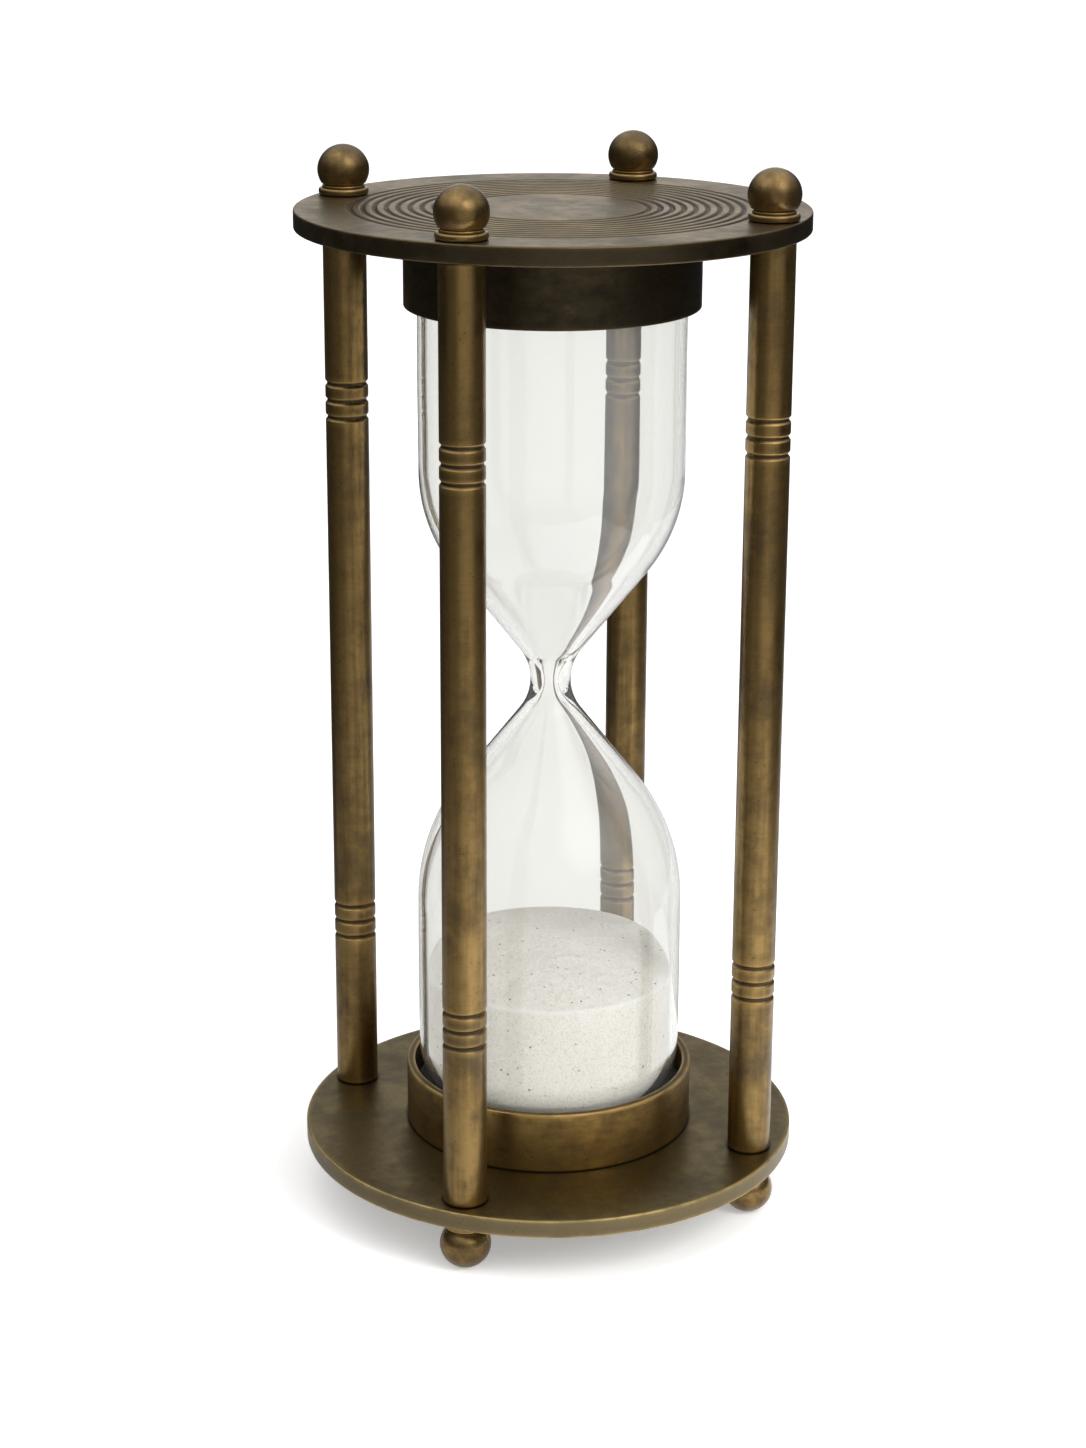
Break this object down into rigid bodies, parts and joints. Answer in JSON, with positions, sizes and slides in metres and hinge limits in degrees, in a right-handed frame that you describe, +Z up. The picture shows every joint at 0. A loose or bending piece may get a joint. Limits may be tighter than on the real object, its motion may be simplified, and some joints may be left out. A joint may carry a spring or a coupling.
{
  "type": "hourglass",
  "caption": "Free-standing sand timer: a blown glass with a narrow waist, held between two round brass plates on turned columns with ball finials and ball feet.",
  "frame": {"origin": "on the table, under the centre of the plates: the middle of the underside of the ball feet", "axes": "+Z up along the glass; the columns stand on the diagonals between X and Y, so +X and +Y point between columns"},
  "size_m": [0.131, 0.131, 0.276],
  "materials": {
    "plate_brass": "antiqued dark brown patina, satin",
    "column_brass": "antiqued, rubbed back along the column, satin",
    "ball_brass": "antiqued, hand-rubbed, satin",
    "collar_brass": "antiqued, fine turning marks, satin",
    "stud_steel": "zinc plated",
    "cork": "agglomerated cork",
    "felt": "pressed black felt",
    "bulb_glass": "clear blown glass",
    "white_sand": "fine dry white sand with a few dark grains"
  },
  "bodies": {
    "root": {"bottom_collar": "collar_brass", "bottom_cushion": "cork", "bottom_packing": "felt", "bottom_plate": "plate_brass", "bottom_stud_back_left": "stud_steel", "bottom_stud_back_right": "stud_steel", "bottom_stud_front_left": "stud_steel", "bottom_stud_front_right": "stud_steel", "column_back_left": "column_brass", "column_back_right": "column_brass", "column_front_left": "column_brass", "column_front_right": "column_brass", "fill_plug": "cork", "finial_back_left": "ball_brass", "finial_back_right": "ball_brass", "finial_bead_back_left": "ball_brass", "finial_bead_back_right": "ball_brass", "finial_bead_front_left": "ball_brass", "finial_bead_front_right": "ball_brass", "finial_front_left": "ball_brass", "finial_front_right": "ball_brass", "foot_back_left": "ball_brass", "foot_back_right": "ball_brass", "foot_bead_back_left": "ball_brass", "foot_bead_back_right": "ball_brass", "foot_bead_front_left": "ball_brass", "foot_bead_front_right": "ball_brass", "foot_front_left": "ball_brass", "foot_front_right": "ball_brass", "glass_bulb": "bulb_glass", "sand": "white_sand", "top_collar": "collar_brass", "top_cushion": "cork", "top_packing": "felt", "top_plate": "plate_brass", "top_stud_back_left": "stud_steel", "top_stud_back_right": "stud_steel", "top_stud_front_left": "stud_steel", "top_stud_front_right": "stud_steel"}
  },
  "joints": []
}
